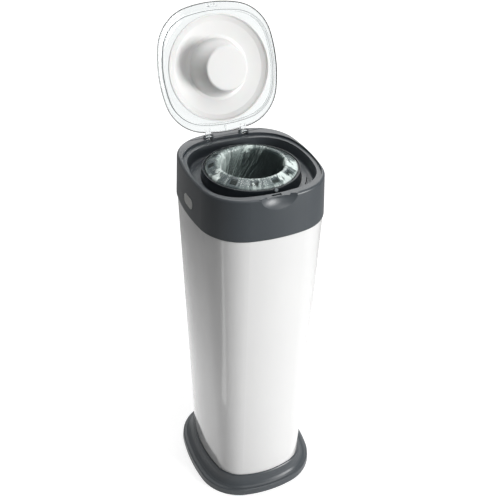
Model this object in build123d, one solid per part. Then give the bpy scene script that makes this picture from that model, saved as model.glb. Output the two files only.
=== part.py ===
from build123d import *
import math
import os
from dataclasses import dataclass

# A nappy bin: a tapered tub on a flared foot, a tilting collar that holds a film cassette in a
# twist ring, and a clear lid that carries a plunger. Millimetres, +Z up. The origin is the middle
# of the base plate's underside, the front is -Y and both hinges are at +Y. The lid stands open.

# ---- Tub ------------------------------------------------------------------------------------
BODY_TOP_Z = 599.0
BODY_FLOOR_Z = 24.0
BODY_TOP_WIDTH = 226.7
BODY_TOP_DEPTH = 254.4
BODY_TOP_CORNER = 76.0
BODY_NECK_WIDTH = 190.8
BODY_NECK_DEPTH = 231.7
BODY_NECK_CORNER = 56.3
BODY_WALL = 2.8
BODY_FLOOR = 3.0

# ---- Foot -----------------------------------------------------------------------------------
FOOT_WIDTH = 242.0
FOOT_DEPTH = 267.4
FOOT_CORNER = 87.6
FOOT_BAND = 13.0          # height of the upright band round the foot
FOOT_STEP = 2.0           # set back above the band
FOOT_NECK_Z = 38.5        # where the flare meets the tub
FOOT_LIP = 3.6            # how far the flare's lip stands out from the tub
FOOT_WALL = 3.0
FLARE_STEPS = 6
PLATE_THICKNESS = 2.5
PLATE_GAP = 0.8
PAD_RADIUS = 10.0
PAD_SPREAD_X = 72.0
PAD_SPREAD_Y = 84.0
BOSS_SPREAD_X = 46.0
BOSS_SPREAD_Y = 92.0
BOSS_RADIUS = 4.5
SCREW_RADIUS = 1.5
SCREW_HEAD_RADIUS = 3.2
SCREW_LENGTH = 12.0

# ---- Collar ---------------------------------------------------------------------------------
COLLAR_OVERHANG = 1.65    # the collar's lower edge stands out from the tub by this
COLLAR_TAPER = 3.0
COLLAR_HEIGHT = 74.6
COLLAR_WALL = 2.6
RIM_ROUND = 4.5
RIM_LIP = 1.2             # the spigot frame's lip on the tub's edge
SEAM = 0.4                # open line between the lip and the collar
SIDE_BOW = 3.6            # how far the long sides bow out
END_BOW = 3.4
NECK_SIDE_BOW = 6.8
NECK_END_BOW = 5.1

# ---- Lid seat and recess --------------------------------------------------------------------
LID_SIDE_INSET = 3.1      # lid edge to rim edge
LID_FRONT_INSET = 6.1
LID_REAR_INSET = 22.7
LID_CORNER = 74.4
LID_GAP = 0.6
REBATE_DEPTH = 3.7
LEDGE_SIDE = 5.7
LEDGE_ENDS = 12.9
RECESS_CORNER = 65.3
RECESS_DEPTH = 20.3       # ledge to deck
RECESS_DRAFT = 4.0
RECESS_ROUND = 6.0
TRAY_WALL = 2.4
LAND_WIDTH = 10.0
LAND_HEIGHT = 1.6
MARK_START = -40.0        # arc slot in the land, in degrees round the ring
MARK_END = -25.0
SEAT_GAP = 0.3            # faces that rest on each other without being joined
RUN_GAP = 0.7             # faces that turn past each other

# ---- Front scoop and latch ------------------------------------------------------------------
SCOOP_WIDTH = 71.0        # across its open edge in the front face
SCOOP_REACH = 9.3         # into the rim
SCOOP_DROP = 21.6         # down the front face
HOOK_WIDTH = 14.0
HOOK_THICKNESS = 1.6
HOOK_LENGTH = 9.0
HOOK_INSET = 6.5          # front of the hook to the lid's front edge
HOOK_NIB = 1.0

# ---- Lid ------------------------------------------------------------------------------------
LID_OPEN_ANGLE = 109.3
LID_AXIS_REAR = 4.7       # hinge axis behind the lid's rear edge
LID_AXIS_RISE = 0.9       # hinge axis above the rim
LID_WALL = 2.4
LID_CROWN = 18.2          # crown above the lid's lower edge
LID_DOME_RADIUS = 522.0
LID_ROUND = 3.6
SKIRT_GAP = 2.0
SKIRT_WALL = 2.0
SKIRT_DEPTH = 4.6
SEAL_HEIGHT = 2.6
SEAL_GAP = 1.1
HINGE_SPREAD = 33.4
HINGE_BARREL = 3.6
HINGE_ARM_WIDTH = 10.0
HINGE_PIN_RADIUS = 1.5
HINGE_EAR = 3.2
PIN_RUN = 0.08            # radial play of a knuckle on its pin
PIN_PRESS = 0.02          # radial play of a pin in the ears that hold it
GRIP_RIBS = 3

# ---- Plunger --------------------------------------------------------------------------------
PLATE_CLEAR = 6.6         # plate edge to the nearest recess wall
PLUNGER_WALL = 2.0
PLATE_DROP = 6.0          # plate edge below the lid's lower edge
PLATE_RISE = 15.4         # plate edge to the flat round the cup
CUP_BASE_RADIUS = 50.5
CUP_END_RADIUS = 37.5
CUP_LENGTH = 52.0
RIB_HEIGHT = 0.9          # rib ring between the plate's back and the lid

# ---- Film cassette --------------------------------------------------------------------------
CASSETTE_RADIUS = 80.2
CORE_RADIUS = 58.8
CASSETTE_WALL = 1.4
CORE_FLANGE = 8.0
CASSETTE_FLOOR_Z = 603.4
CASSETTE_TOP_Z = 668.5
CAP_CROWN_Z = 678.3
CAP_THICKNESS = 1.6
CAP_GAP = 1.7             # slot round the cap that lets the film out
CAP_WINDOWS = 12
WINDOW_LENGTH = 9.5
WINDOW_WIDTH = 12.5
FILM = 0.8
FILM_GAP = 0.35
PACK_HEIGHT = 55.5
KNOT_RADIUS = 13.0
KNOT_Z = 556.0
TAIL_RADIUS = 8.5
TAIL_LENGTH = 24.0

# ---- Turntable ------------------------------------------------------------------------------
RING_WALL = 1.6
RING_TOP_Z = 670.2
RING_FLARE = 2.4          # foot of the ring's bevel beyond its upper edge
RING_SPLIT_Z = 644.0
TURN_FLOOR_Z = 601.2
TURN_FLOOR = 1.8
CLICK_TEETH = 24
TOOTH_HEIGHT = 1.5
TOOTH_WIDTH = 3.2
TOOTH_Z = 606.0
TOOTH_LENGTH = 8.0
PAWL_ANGLE = 90.0         # the click pawl lies at the rear
PAWL_SPAN = 32.0
DRIVE_DOGS = 3
PIP_RADIUS = 3.0
PIP_ANGLE = -84.0
PIP_TILT = 32.0

# ---- Well and film grip ---------------------------------------------------------------------
WELL_WALL = 2.4
WELL_CLEAR = 5.2          # turntable wall to well wall, where the click pawl lies
WELL_FLOOR_Z = 597.2
WELL_HOLE = 60.0
EAR_ANGLE = 45.0
EAR_REACH = 99.0
EAR_Z = 635.0
EAR_SCREW_LENGTH = 10.0
FINGERS = 6
FINGER_GAP = 2.4
FINGER_OPENING = 24.0
FINGER_DROP = 16.0
FINGER_THICKNESS = 1.6
CUTTER_WIDTH = 44.0
CUTTER_DEPTH = 13.0
CUTTER_HEIGHT = 14.0
CUTTER_SLOT = 5.0

# ---- Release buttons ------------------------------------------------------------------------
BUTTON_Y = -10.0
BUTTON_Z = 627.5
BUTTON_LENGTH = 36.0
BUTTON_HEIGHT = 18.0
BUTTON_ROUND = 8.0
BUTTON_PROUD = 0.6
BUTTON_GAP = 0.4
BUTTON_TRAVEL = 3.0
ARM_THICKNESS = 2.0
NOSE_REACH = 2.8
NOSE_HEIGHT = 3.6
NOSE_Z = 606.4
SPRING_RADIUS = 3.0
SPRING_WIRE = 0.8
SPRING_TURNS = 5

# ---- Spigot frame and head hinge ------------------------------------------------------------
SPIGOT_HEIGHT = 15.0
SPIGOT_PLUG = 18.0
SPIGOT_WALL = 2.4
SPIGOT_DRAFT = 0.8
FRAME_GAP = 0.2
HEAD_AXIS_OUT = 2.2       # hinge axis behind the tub's rear face
HEAD_BARREL = 4.0
HEAD_PIN_RADIUS = 2.0
KNUCKLE_MIDDLE = 33.6
KNUCKLE_COLLAR = 17.8
KNUCKLE_END = 12.0
KNUCKLE_GAP = 0.3
KNUCKLE_CLEAR = 0.5
NOTCH_DEPTH = 14.0        # tub notch in front of the hinge axis


@dataclass
class Outline:
    """A rounded rectangle with bowed sides, as eight tangent arcs centred on (0, y)."""

    width: float
    depth: float
    corner: float
    side_bow: float = SIDE_BOW
    end_bow: float = END_BOW
    y: float = 0.0

    def inset(self, by):
        return Outline(
            self.width - 2 * by,
            self.depth - 2 * by,
            self.corner - by,
            self.side_bow,
            self.end_bow,
            self.y,
        )

    def towards(self, other, share):
        keep = 1 - share
        return Outline(
            self.width * keep + other.width * share,
            self.depth * keep + other.depth * share,
            self.corner * keep + other.corner * share,
            self.side_bow * keep + other.side_bow * share,
            self.end_bow * keep + other.end_bow * share,
            self.y * keep + other.y * share,
        )

    def wire(self, z):
        half_x = self.width / 2
        half_y = self.depth / 2
        near = half_x - self.corner - self.side_bow
        far = half_y - self.corner - self.end_bow
        side = ((self.corner + self.side_bow) ** 2 + far**2 - self.corner**2) / (2 * self.side_bow)
        end = ((self.corner + self.end_bow) ** 2 + near**2 - self.corner**2) / (2 * self.end_bow)
        first = math.atan2(far, near - half_x + side)
        last = math.atan2(far - half_y + end, near)
        quarter = [(half_x, 0)]
        for angle in (first, (first + last) / 2, last):
            quarter.append((near + self.corner * math.cos(angle), far + self.corner * math.sin(angle)))
        upper = quarter + [(0, half_y)] + [(-x, y) for x, y in reversed(quarter)]
        ring = upper + [(x, -y) for x, y in reversed(upper[1:-1])]
        points = [(x, y + self.y, z) for x, y in ring]
        arcs = [
            ThreePointArc(points[i - 1], points[i], points[(i + 1) % len(points)])
            for i in range(0, len(points), 2)
        ]
        return Wire(arcs)


# ---- Sizes worked out from the values above -------------------------------------------------
BODY_TOP = Outline(BODY_TOP_WIDTH, BODY_TOP_DEPTH, BODY_TOP_CORNER)
BODY_NECK = Outline(BODY_NECK_WIDTH, BODY_NECK_DEPTH, BODY_NECK_CORNER, NECK_SIDE_BOW, NECK_END_BOW)
FOOT = Outline(FOOT_WIDTH, FOOT_DEPTH, FOOT_CORNER)
COLLAR_BOTTOM = BODY_TOP.inset(-COLLAR_OVERHANG)
COLLAR_TOP = COLLAR_BOTTOM.inset(COLLAR_TAPER)
COLLAR_Z = BODY_TOP_Z + RIM_LIP + SEAM
RIM_Z = COLLAR_Z + COLLAR_HEIGHT
LEDGE_Z = RIM_Z - REBATE_DEPTH
DECK_Z = LEDGE_Z - RECESS_DEPTH
LID_REAR_Y = COLLAR_TOP.depth / 2 - LID_REAR_INSET
LID_FRONT_Y = LID_FRONT_INSET - COLLAR_TOP.depth / 2
LID = Outline(
    COLLAR_TOP.width - 2 * LID_SIDE_INSET,
    LID_REAR_Y - LID_FRONT_Y,
    LID_CORNER,
    y=(LID_REAR_Y + LID_FRONT_Y) / 2,
)
REBATE = LID.inset(-LID_GAP)
RECESS = Outline(
    LID.width - 2 * LEDGE_SIDE,
    LID.depth - 2 * LEDGE_ENDS,
    RECESS_CORNER,
    y=LID.y,
)
RING_Y = RECESS.y
PLATE_RADIUS = min(RECESS.width, RECESS.depth) / 2 - PLATE_CLEAR
LID_Z = LEDGE_Z + SEAT_GAP
LID_AXIS_Y = LID_REAR_Y + LID_AXIS_REAR
LID_AXIS_Z = RIM_Z + LID_AXIS_RISE
HEAD_AXIS_Y = BODY_TOP.depth / 2 + HEAD_AXIS_OUT
HEAD_AXIS_Z = BODY_TOP_Z + RIM_LIP / 2
TURN_INNER = CASSETTE_RADIUS + RUN_GAP
TURN_OUTER = TURN_INNER + RING_WALL
TOOTH_RADIUS = TURN_OUTER + TOOTH_HEIGHT
WELL_INNER = TURN_OUTER + WELL_CLEAR
WELL_OUTER = WELL_INNER + WELL_WALL
RING_FOOT = TURN_OUTER + RING_FLARE
DECK_HOLE = TURN_OUTER + RUN_GAP + 1.0
TRAY_Z = DECK_Z - TRAY_WALL
CORE_INNER = CORE_RADIUS - CASSETTE_WALL
CAP_RADIUS = CASSETTE_RADIUS - CASSETTE_WALL - CAP_GAP
FILM_OUTER = CORE_INNER - 0.4
PACK_Z = CASSETTE_FLOOR_Z + 2 * CASSETTE_WALL + SEAT_GAP
BUTTON_X = COLLAR_TOP.width / 2 + COLLAR_TAPER * (RIM_Z - BUTTON_Z) / COLLAR_HEIGHT
FLANGE_X = BUTTON_X - COLLAR_WALL - 1.0
ARM_X = BODY_TOP.width / 2 - BODY_WALL - FRAME_GAP - SPIGOT_DRAFT - SPIGOT_WALL - BUTTON_GAP
SPRING_SEAT = ARM_X - ARM_THICKNESS
PAD_X = WELL_OUTER + 3.0


# ---- Helpers --------------------------------------------------------------------------------
def prism(outline, low, high):
    return Solid.extrude(Face(outline.wire(low)), Vector(0, 0, high - low))


def lofted(*sections):
    return Solid.make_loft([outline.wire(z) for outline, z in sections], ruled=True)


def box(x, y, z):
    """A box from its three (low, high) pairs."""
    middle = Pos(sum(x) / 2, sum(y) / 2, sum(z) / 2)
    return middle * Box(x[1] - x[0], y[1] - y[0], z[1] - z[0])


def turned(points, y=None, rounds=None):
    """A closed (radius, height) profile turned about the cassette's upright axis."""
    face = Face(Wire.make_polygon([(r, 0, z) for r, z in points], close=True))
    for index, radius in (rounds or {}).items():
        r, z = points[index]
        corner = min(face.vertices(), key=lambda v: (Vector(v.X, v.Y, v.Z) - Vector(r, 0, z)).length)
        face = face.fillet_2d(radius, [corner])
    solid = revolve(face, Axis.Z)
    return Pos(0, RING_Y if y is None else y, 0) * solid


def tube(outer, inner, low, high):
    return turned([(inner, low), (outer, low), (outer, high), (inner, high)])


def rod_x(radius, low, high, y, z):
    return Pos((low + high) / 2, y, z) * Rot(0, 90, 0) * Cylinder(radius, high - low)


def around(shape, angle):
    """A copy turned about the cassette's axis."""
    return Pos(0, RING_Y, 0) * Rot(0, 0, angle) * Pos(0, -RING_Y, 0) * shape


def sector(start, end):
    """A wedge of the upright cylinder round the cassette's axis, between two angles."""
    reach = 2 * WELL_OUTER
    first, last = math.radians(start), math.radians(end)
    near = (reach * math.cos(first), reach * math.sin(first))
    far = (reach * math.cos(last), reach * math.sin(last))
    wedge = extrude(make_face(Polyline((0, 0), near, far, (0, 0))), amount=RIM_Z)
    return Pos(0, RING_Y, 0) * wedge


def both_sides(shape):
    return shape + mirror(shape, about=Plane.YZ)


def opened(shape):
    """The lid's pieces are drawn shut and swung open about their hinge."""
    at_axis = Pos(0, LID_AXIS_Y, LID_AXIS_Z)
    back = Pos(0, -LID_AXIS_Y, -LID_AXIS_Z)
    return at_axis * Rot(-LID_OPEN_ANGLE, 0, 0) * back * shape


def body_at(z):
    """The tub's outline at a height, on the straight taper from neck to top."""
    share = (z - FOOT_NECK_Z) / (BODY_TOP_Z - FOOT_NECK_Z)
    return BODY_NECK.towards(BODY_TOP, share)


def collar_form(inset=0.0, low=0.0, high=0.0):
    """The collar's outer form, made smaller by inset and shorter at either end."""
    top = COLLAR_TOP.towards(COLLAR_BOTTOM, high / COLLAR_HEIGHT)
    bottom = COLLAR_BOTTOM.towards(COLLAR_TOP, low / COLLAR_HEIGHT)
    return lofted((bottom.inset(inset), COLLAR_Z + low), (top.inset(inset), RIM_Z - high))


# ---- Foot and tub ---------------------------------------------------------------------------
def foot_form(inset, drop):
    neck = body_at(FOOT_NECK_Z).inset(-FOOT_LIP)
    step = FOOT.inset(1.0 + FOOT_STEP)
    sections = [(FOOT, 0.0), (FOOT.inset(1.0), FOOT_BAND - 1.5), (step, FOOT_BAND)]
    rise = FOOT_NECK_Z - 1.5 - FOOT_BAND
    for i in range(1, FLARE_STEPS + 1):
        angle = math.radians(90 * i / FLARE_STEPS)
        sections.append((step.towards(neck, math.sin(angle)), FOOT_BAND + rise * (1 - math.cos(angle))))
    sections.append((neck.inset(1.2), FOOT_NECK_Z))
    return lofted(*[(outline.inset(inset), z - drop) for outline, z in sections])


def boss_places():
    return [(x, y) for x in (-BOSS_SPREAD_X, BOSS_SPREAD_X) for y in (-BOSS_SPREAD_Y, BOSS_SPREAD_Y)]


def pad_places():
    return [(x, y) for x in (-PAD_SPREAD_X, PAD_SPREAD_X) for y in (-PAD_SPREAD_Y, PAD_SPREAD_Y)]


def foot_plinth():
    ceiling = BODY_FLOOR_Z - FOOT_WALL - 1.0
    span = (-FOOT_DEPTH, FOOT_DEPTH)
    hollow = foot_form(FOOT_WALL, FOOT_WALL) & box(span, span, (-FOOT_DEPTH, ceiling))
    socket = lofted(
        (body_at(BODY_FLOOR_Z).inset(-SEAT_GAP), BODY_FLOOR_Z),
        (body_at(FOOT_NECK_Z + 2).inset(-SEAT_GAP), FOOT_NECK_Z + 2),
    )
    plinth = foot_form(0.0, 0.0) - hollow - socket
    height = ceiling + 1.0 - PLATE_THICKNESS
    for x, y in boss_places():
        boss = Pos(x, y, PLATE_THICKNESS + height / 2) * Cylinder(BOSS_RADIUS, height)
        bore = Pos(x, y, PLATE_THICKNESS + SCREW_LENGTH / 2) * Cylinder(SCREW_RADIUS, SCREW_LENGTH)
        plinth = plinth + boss - bore
    return plinth


def base_plate():
    plate = prism(FOOT.inset(FOOT_WALL + PLATE_GAP), 0.0, PLATE_THICKNESS)
    for x, y in pad_places():
        plate -= Pos(x, y, 0) * Cylinder(PAD_RADIUS + SEAT_GAP, 3 * PLATE_THICKNESS)
    for x, y in boss_places():
        plate -= Pos(x, y, 0) * Cylinder(SCREW_RADIUS + 0.2, 3 * PLATE_THICKNESS)
        plate -= Pos(x, y, 0.9) * Cone(SCREW_HEAD_RADIUS + 0.1, SCREW_RADIUS + 0.1, 1.8)
    return plate


def base_screws():
    screws = []
    for x, y in boss_places():
        head = Pos(x, y, 0.2 + 0.8) * Cone(SCREW_HEAD_RADIUS - 0.25, SCREW_RADIUS - 0.05, 1.6)
        length = SCREW_LENGTH - 1.0
        shank = Pos(x, y, 1.5 + length / 2) * Cylinder(SCREW_RADIUS - 0.05, length)
        screws.append(head + shank)
    return screws


def rubber_pads():
    height = PLATE_THICKNESS - 0.2
    return [Pos(x, y, height / 2) * Cylinder(PAD_RADIUS, height) for x, y in pad_places()]


def hinge_notch():
    """Room in the tub's rear edge for the head hinge."""
    half = KNUCKLE_MIDDLE / 2 + KNUCKLE_COLLAR + KNUCKLE_END + 3 * KNUCKLE_GAP
    low = HEAD_AXIS_Z - HEAD_BARREL - 1.0
    return box((-half, half), (HEAD_AXIS_Y - NOTCH_DEPTH, HEAD_AXIS_Y + 6), (low, BODY_TOP_Z + 10))


def body_shell():
    outer = lofted((body_at(BODY_FLOOR_Z), BODY_FLOOR_Z), (BODY_TOP, BODY_TOP_Z))
    inner_z = BODY_FLOOR_Z + BODY_FLOOR
    inner = lofted(
        (body_at(inner_z).inset(BODY_WALL), inner_z),
        (body_at(BODY_TOP_Z + 1).inset(BODY_WALL), BODY_TOP_Z + 1),
    )
    return outer - inner - hinge_notch()


# ---- Spigot frame and head hinge ------------------------------------------------------------
def knuckle_spans():
    """The (low, high) ends of the frame's knuckles and of the collar's, along X."""
    first = KNUCKLE_MIDDLE / 2
    second = first + KNUCKLE_GAP
    third = second + KNUCKLE_COLLAR
    fourth = third + KNUCKLE_GAP
    fifth = fourth + KNUCKLE_END
    frame = [(-fifth, -fourth), (-first, first), (fourth, fifth)]
    collar = [(-third, -second), (second, third)]
    return frame, collar


def spigot_form(inset):
    reach = BODY_WALL + FRAME_GAP + inset
    low = BODY_TOP_Z - SPIGOT_PLUG
    lift = 1.0 if inset else 0.0
    return lofted(
        (body_at(low - lift).inset(reach), low - lift),
        (BODY_TOP.inset(reach), BODY_TOP_Z),
        (BODY_TOP.inset(reach + SPIGOT_DRAFT), BODY_TOP_Z + SPIGOT_HEIGHT + lift),
    )


def body_rim():
    rim = spigot_form(0.0) + prism(BODY_TOP.inset(0.5), BODY_TOP_Z, BODY_TOP_Z + RIM_LIP)
    frame, collar = knuckle_spans()
    for low, high in frame:
        rim += rod_x(HEAD_BARREL, low, high, HEAD_AXIS_Y, HEAD_AXIS_Z)
        web = (HEAD_AXIS_Z - HEAD_BARREL + 0.6, BODY_TOP_Z + RIM_LIP)
        rim += box((low, high), (HEAD_AXIS_Y - NOTCH_DEPTH + SEAT_GAP, HEAD_AXIS_Y), web)
    rim -= spigot_form(SPIGOT_WALL)
    for low, high in collar:
        span = (low - KNUCKLE_GAP, high + KNUCKLE_GAP)
        rim -= rod_x(HEAD_BARREL + KNUCKLE_CLEAR, *span, HEAD_AXIS_Y, HEAD_AXIS_Z)
    rim -= rod_x(HEAD_PIN_RADIUS + PIN_PRESS, -BODY_TOP_WIDTH, BODY_TOP_WIDTH, HEAD_AXIS_Y, HEAD_AXIS_Z)
    half = BODY_TOP_WIDTH
    window_y = (BUTTON_Y - BUTTON_LENGTH / 4 - 0.6, BUTTON_Y + BUTTON_LENGTH / 4 + 0.6)
    window_z = (NOSE_Z - 0.5, NOSE_Z + NOSE_HEIGHT + 0.5)
    return rim - box((-half, half), window_y, window_z)


def head_hinge_pin():
    half = KNUCKLE_MIDDLE / 2 + KNUCKLE_COLLAR + KNUCKLE_END + 2 * KNUCKLE_GAP
    return rod_x(HEAD_PIN_RADIUS, -half, half, HEAD_AXIS_Y, HEAD_AXIS_Z)


# ---- Collar and recess tray -----------------------------------------------------------------
def scoop_spindle(grow=0.0):
    """The finger scoop: an arc turned about a line along X in front of the rim."""
    middle = (SCOOP_DROP**2 + SCOOP_REACH**2) / (2 * SCOOP_REACH)
    bow = (SCOOP_WIDTH**2 / 4 + SCOOP_REACH**2) / (2 * SCOOP_REACH)
    half = math.sqrt(2 * middle * bow - middle**2) + grow
    deep = middle + grow
    arc = ThreePointArc((-half, 0, 0), (0, deep, 0), (half, 0, 0))
    chord = Line((half, 0, 0), (-half, 0, 0))
    spindle = revolve(Face(Wire([arc, chord])), Axis.X)
    return Pos(0, SCOOP_REACH - COLLAR_TOP.depth / 2 - middle, RIM_Z) * spindle


def button_prism(gap, low, high):
    """The button's rounded outline, as a bar along X on the -X side."""
    sketch = RectangleRounded(BUTTON_LENGTH + 2 * gap, BUTTON_HEIGHT + 2 * gap, BUTTON_ROUND + gap)
    bar = extrude(Plane.YZ * sketch, amount=high - low)
    return Pos(low, BUTTON_Y, BUTTON_Z) * bar


def hinge_block():
    """The pocket in the rear rim that takes one lid arm, with an ear on each side."""
    half = HINGE_ARM_WIDTH / 2 + 0.4
    x = (HINGE_SPREAD - half - HINGE_EAR, HINGE_SPREAD + half + HINGE_EAR)
    front = LID_AXIS_Y - HINGE_BARREL - 0.3
    back = LID_AXIS_Y + HINGE_BARREL + 3.0
    block = box(x, (front, back), (LEDGE_Z - 4.0, RIM_Z))
    block += rod_x(HINGE_BARREL + 0.3, *x, LID_AXIS_Y, LID_AXIS_Z)
    block += box(x, (front, LID_AXIS_Y + HINGE_BARREL + 0.3), (LEDGE_Z, LID_AXIS_Z))
    return block


def hinge_pocket():
    half = HINGE_ARM_WIDTH / 2 + 0.4
    x = (HINGE_SPREAD - half, HINGE_SPREAD + half)
    low = LID_AXIS_Z - HINGE_BARREL - 0.8
    pocket = box(x, (LID_REAR_Y - 6.0, LID_AXIS_Y + HINGE_BARREL + 0.8), (low, RIM_Z + 20))
    bore = rod_x(HINGE_PIN_RADIUS + PIN_PRESS, 0, BODY_TOP_WIDTH / 3, LID_AXIS_Y, LID_AXIS_Z)
    return pocket + bore


def collar():
    outer = collar_form()
    outer = outer.fillet(RIM_ROUND, outer.faces().sort_by(Axis.Z)[-1].edges())
    inside = lofted(
        (COLLAR_BOTTOM.inset(COLLAR_WALL), COLLAR_Z - 1.0),
        (COLLAR_TOP.inset(COLLAR_WALL), RIM_Z - COLLAR_WALL),
    )
    frame = outer - inside
    shelf_z = LEDGE_Z - TRAY_WALL
    curb = prism(REBATE.inset(-2.2), shelf_z - COLLAR_WALL, RIM_Z - COLLAR_WALL)
    curb &= collar_form()
    curb -= prism(REBATE.inset(3.0), shelf_z - 10, RIM_Z)
    frame += curb
    frame -= prism(REBATE, shelf_z, RIM_Z + 5)
    frame += scoop_spindle(COLLAR_WALL) & (collar_form(0.6) - prism(REBATE.inset(3.0), shelf_z - 40, RIM_Z))
    frame -= prism(REBATE, shelf_z, RIM_Z + 5)
    frame -= scoop_spindle()
    frame += both_sides(hinge_block())
    frame -= both_sides(hinge_pocket())
    reach = BODY_TOP_WIDTH
    frame -= both_sides(button_prism(BUTTON_GAP, -reach, -FLANGE_X + 4.0))
    body_spans, collar_spans = knuckle_spans()
    for low, high in collar_spans:
        frame += rod_x(HEAD_BARREL, low, high, HEAD_AXIS_Y, HEAD_AXIS_Z)
    for low, high in body_spans:
        span = (low - KNUCKLE_GAP, high + KNUCKLE_GAP)
        frame -= rod_x(HEAD_BARREL + KNUCKLE_CLEAR, *span, HEAD_AXIS_Y, HEAD_AXIS_Z)
    frame -= rod_x(HEAD_PIN_RADIUS + PIN_RUN, -reach, reach, HEAD_AXIS_Y, HEAD_AXIS_Z)
    return frame


def ear_places():
    return [around_point(EAR_REACH, EAR_ANGLE + 90 * i) for i in range(4)]


def around_point(radius, angle):
    turn = math.radians(angle)
    return (radius * math.cos(turn), RING_Y + radius * math.sin(turn))


def hook_slot():
    front = LID_FRONT_Y + HOOK_INSET
    half = HOOK_WIDTH / 2 + 1.5
    return box((-half, half), (front - 1.0, front + HOOK_THICKNESS + HOOK_NIB + 1.0), (DECK_Z + 8, RIM_Z))


def recess_tray():
    floor = RECESS.inset(RECESS_DRAFT)
    ledge = prism(REBATE.inset(SEAT_GAP), LEDGE_Z - TRAY_WALL, LEDGE_Z)
    bowl = lofted((floor.inset(-TRAY_WALL), TRAY_Z), (RECESS.inset(-TRAY_WALL), LEDGE_Z))
    hollow = lofted((floor, DECK_Z), (RECESS, LEDGE_Z))
    hollow = hollow.fillet(RECESS_ROUND, hollow.faces().sort_by(Axis.Z)[0].edges())
    tray = ledge + bowl - hollow
    land = RING_FOOT + RUN_GAP
    tray += tube(land + LAND_WIDTH, land, DECK_Z - 0.5, DECK_Z + LAND_HEIGHT)
    tray -= tube(DECK_HOLE, 0.0, TRAY_Z - 1, RIM_Z)
    groove = tube(land + LAND_WIDTH - 1.2, land + LAND_WIDTH - 2.8, TRAY_Z - 1, DECK_Z + 5)
    tray -= groove & sector(MARK_START, MARK_END)
    tray -= hook_slot()
    tray -= scoop_spindle(SEAT_GAP)
    for x, y in ear_places():
        height = TRAY_Z - EAR_Z - WELL_WALL + 0.5
        tray += Pos(x, y, TRAY_Z + 0.5 - height / 2) * Cylinder(BOSS_RADIUS, height)
        tray -= Pos(x, y, EAR_Z + WELL_WALL + 4.5) * Cylinder(SCREW_RADIUS, 11.0)
    return tray


def lid_catch():
    front = LID_FRONT_Y + HOOK_INSET + HOOK_THICKNESS + HOOK_NIB + 0.6
    wall = RECESS.y - RECESS.depth / 2 - TRAY_WALL
    nib_z = LID_Z - HOOK_LENGTH + 3.0
    half = HOOK_WIDTH / 2
    catch = box((-half, half), (front, wall + 0.9), (nib_z - 4.0, LEDGE_Z - TRAY_WALL - 0.3))
    catch += box((-half, half), (front - 1.3, front), (nib_z, nib_z + 1.5))
    return catch - recess_bowl_outside()


def recess_bowl_outside():
    floor = RECESS.inset(RECESS_DRAFT - SEAT_GAP)
    return lofted((floor.inset(-TRAY_WALL), TRAY_Z), (RECESS.inset(-TRAY_WALL - SEAT_GAP), LEDGE_Z))


def lid_hinge_pins():
    half = HINGE_ARM_WIDTH / 2 + HINGE_EAR + 0.2
    span = (HINGE_SPREAD - half, HINGE_SPREAD + half)
    pin = rod_x(HINGE_PIN_RADIUS, *span, LID_AXIS_Y, LID_AXIS_Z)
    return [pin, mirror(pin, about=Plane.YZ)]


# ---- Well, click pawl, film grip and cutter -------------------------------------------------
def well_housing():
    floor_top = WELL_FLOOR_Z + WELL_WALL
    top = TRAY_Z
    well = turned(
        [
            (WELL_HOLE, WELL_FLOOR_Z),
            (WELL_OUTER, WELL_FLOOR_Z),
            (WELL_OUTER, top),
            (WELL_INNER, top),
            (WELL_INNER, floor_top),
            (WELL_HOLE, floor_top),
        ],
        rounds={1: 2.0},
    )
    well += tube(WELL_HOLE + 12, WELL_HOLE + 9, floor_top - 0.5, TURN_FLOOR_Z - SEAT_GAP)
    core = tube(WELL_INNER + 0.5, 0.0, WELL_FLOOR_Z, top)
    for x, y in ear_places():
        well += Pos(x, y, EAR_Z + WELL_WALL / 2) * Cylinder(BOSS_RADIUS + 1.5, WELL_WALL)
    for i in range(4):
        reach = ((WELL_INNER + WELL_OUTER) / 2, EAR_REACH)
        ear = box(reach, (-BOSS_RADIUS - 1.5, BOSS_RADIUS + 1.5), (EAR_Z, EAR_Z + WELL_WALL))
        well += Pos(0, RING_Y, 0) * Rot(0, 0, EAR_ANGLE + 90 * i) * ear
    for x, y in ear_places():
        well -= Pos(x, y, EAR_Z) * Cylinder(SCREW_RADIUS + 0.2, 4 * WELL_WALL)
    seat = box((WELL_INNER, PAD_X), (BUTTON_Y - 6, BUTTON_Y + 6), (BUTTON_Z - 6, BUTTON_Z + 6))
    peg = rod_x(SPRING_RADIUS - SPRING_WIRE, PAD_X - 0.5, PAD_X + 4.0, BUTTON_Y, BUTTON_Z)
    return well + both_sides(seat - core + peg)


def well_screws():
    screws = []
    for x, y in ear_places():
        head = Pos(x, y, EAR_Z - 1.0) * Cylinder(SCREW_HEAD_RADIUS, 2.0)
        shank = Pos(x, y, EAR_Z + EAR_SCREW_LENGTH / 2 - 0.5) * Cylinder(SCREW_RADIUS - 0.05, EAR_SCREW_LENGTH)
        screws.append(head + shank)
    return screws


def click_pawl():
    """A springy leaf on the well's wall whose nose rests between two of the turntable's teeth."""
    leaf = tube(WELL_INNER - 0.2, WELL_INNER - 1.6, TOOTH_Z, TOOTH_Z + TOOTH_LENGTH)
    leaf &= sector(PAWL_ANGLE - PAWL_SPAN / 2, PAWL_ANGLE + PAWL_SPAN / 2)
    nose_in = TURN_OUTER + 0.4
    nose = extrude(
        make_face(
            Polyline(
                (-1.0, nose_in),
                (1.0, nose_in),
                (2.6, WELL_INNER - 1.2),
                (-2.6, WELL_INNER - 1.2),
                (-1.0, nose_in),
            )
        ),
        amount=TOOTH_LENGTH,
    )
    return leaf + around(Pos(0, RING_Y, TOOTH_Z) * nose, PAWL_ANGLE - 90)


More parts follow.
